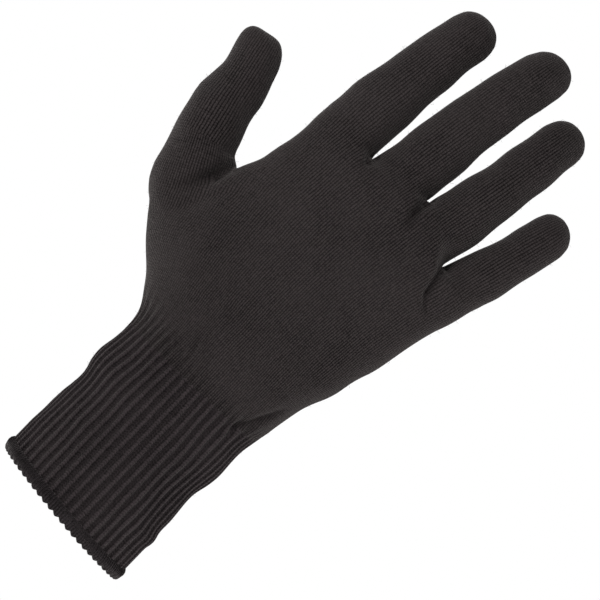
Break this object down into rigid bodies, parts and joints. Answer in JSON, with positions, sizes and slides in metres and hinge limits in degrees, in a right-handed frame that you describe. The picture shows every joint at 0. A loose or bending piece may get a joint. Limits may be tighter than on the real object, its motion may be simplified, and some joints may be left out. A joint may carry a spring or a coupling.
{
  "type": "glove liner",
  "caption": "Thin machine-knitted liner for the right hand with a ribbed cuff and a scalloped overlocked edge, worn under another glove or by itself for warmth.",
  "frame": {"origin": "middle of the open wrist end", "axes": "+Z along the cuff and hand to the fingertips, -Y out of the back of the hand, thumb towards -X"},
  "size_m": [0.1415, 0.0504, 0.2502],
  "materials": {
    "plain_knit": "fine stockinette in near-black yarn with a soft nap",
    "rib_knit": "upright ribs in near-black elastic yarn",
    "overlocked_edge": "dense overlock stitching round a rolled edge in near-black yarn"
  },
  "bodies": {
    "root": {"cuff_welt": "overlocked_edge", "rib_cuff": "rib_knit", "palm": "plain_knit", "thumb": "plain_knit", "index_finger": "plain_knit", "middle_finger": "plain_knit", "ring_finger": "plain_knit", "little_finger": "plain_knit"}
  },
  "joints": []
}
